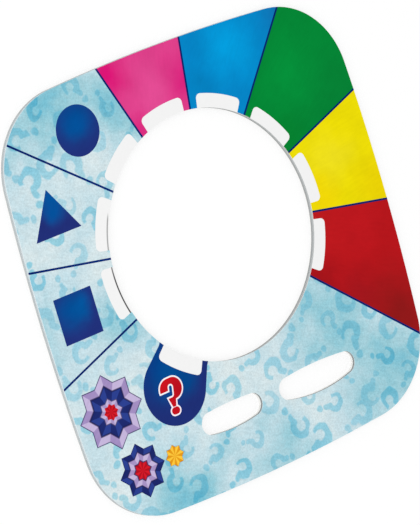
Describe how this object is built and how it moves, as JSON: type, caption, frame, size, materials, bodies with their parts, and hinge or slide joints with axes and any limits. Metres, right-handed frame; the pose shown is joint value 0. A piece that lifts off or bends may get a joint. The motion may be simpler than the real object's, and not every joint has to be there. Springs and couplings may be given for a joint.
{
  "type": "face guessing game board",
  "caption": "Square die-cut greyboard game board with bowed sides, a large round hole, finger slots, coloured answer fields and printed shape fields.",
  "frame": {"origin": "middle of the board's outline, on its underside", "axes": "+Z out of the printed face, +Y from the slots to the coloured fields, +X to the red and yellow fields"},
  "size_m": [0.23, 0.23, 0.0031],
  "materials": {
    "greyboard": "matt, fibrous where it is cut",
    "face_paper": "white, smooth, satin varnish",
    "back_paper": "off-white, uncoated, matt",
    "ground_ink": "offset print under a satin varnish",
    "pink_ink": "offset print under a satin varnish",
    "blue_ink": "offset print under a satin varnish",
    "green_ink": "offset print under a satin varnish",
    "yellow_ink": "offset print under a satin varnish",
    "red_ink": "offset print under a satin varnish",
    "navy_line_ink": "offset print under a satin varnish",
    "dark_blue_ink": "offset print under a satin varnish",
    "white_ink": "offset print under a satin varnish",
    "bright_red_ink": "offset print under a satin varnish",
    "lavender_ink": "offset print under a satin varnish",
    "star_navy_ink": "offset print under a satin varnish",
    "gold_ink": "offset print under a satin varnish"
  },
  "bodies": {
    "root": {"greyboard_core": "greyboard", "face_paper": "face_paper", "back_paper": "back_paper", "ground_field": "ground_ink", "pink_field": "pink_ink", "blue_field": "blue_ink", "green_field": "green_ink", "yellow_field": "yellow_ink", "red_field": "red_ink", "divider_lines": "navy_line_ink", "circle_symbol": "dark_blue_ink", "triangle_symbol": "dark_blue_ink", "square_symbol": "dark_blue_ink", "question_field": "dark_blue_ink", "question_outline": "white_ink", "question_mark": "bright_red_ink", "star_lavender": "lavender_ink", "star_navy": "star_navy_ink", "star_red": "bright_red_ink", "star_gold": "gold_ink"}
  },
  "joints": []
}
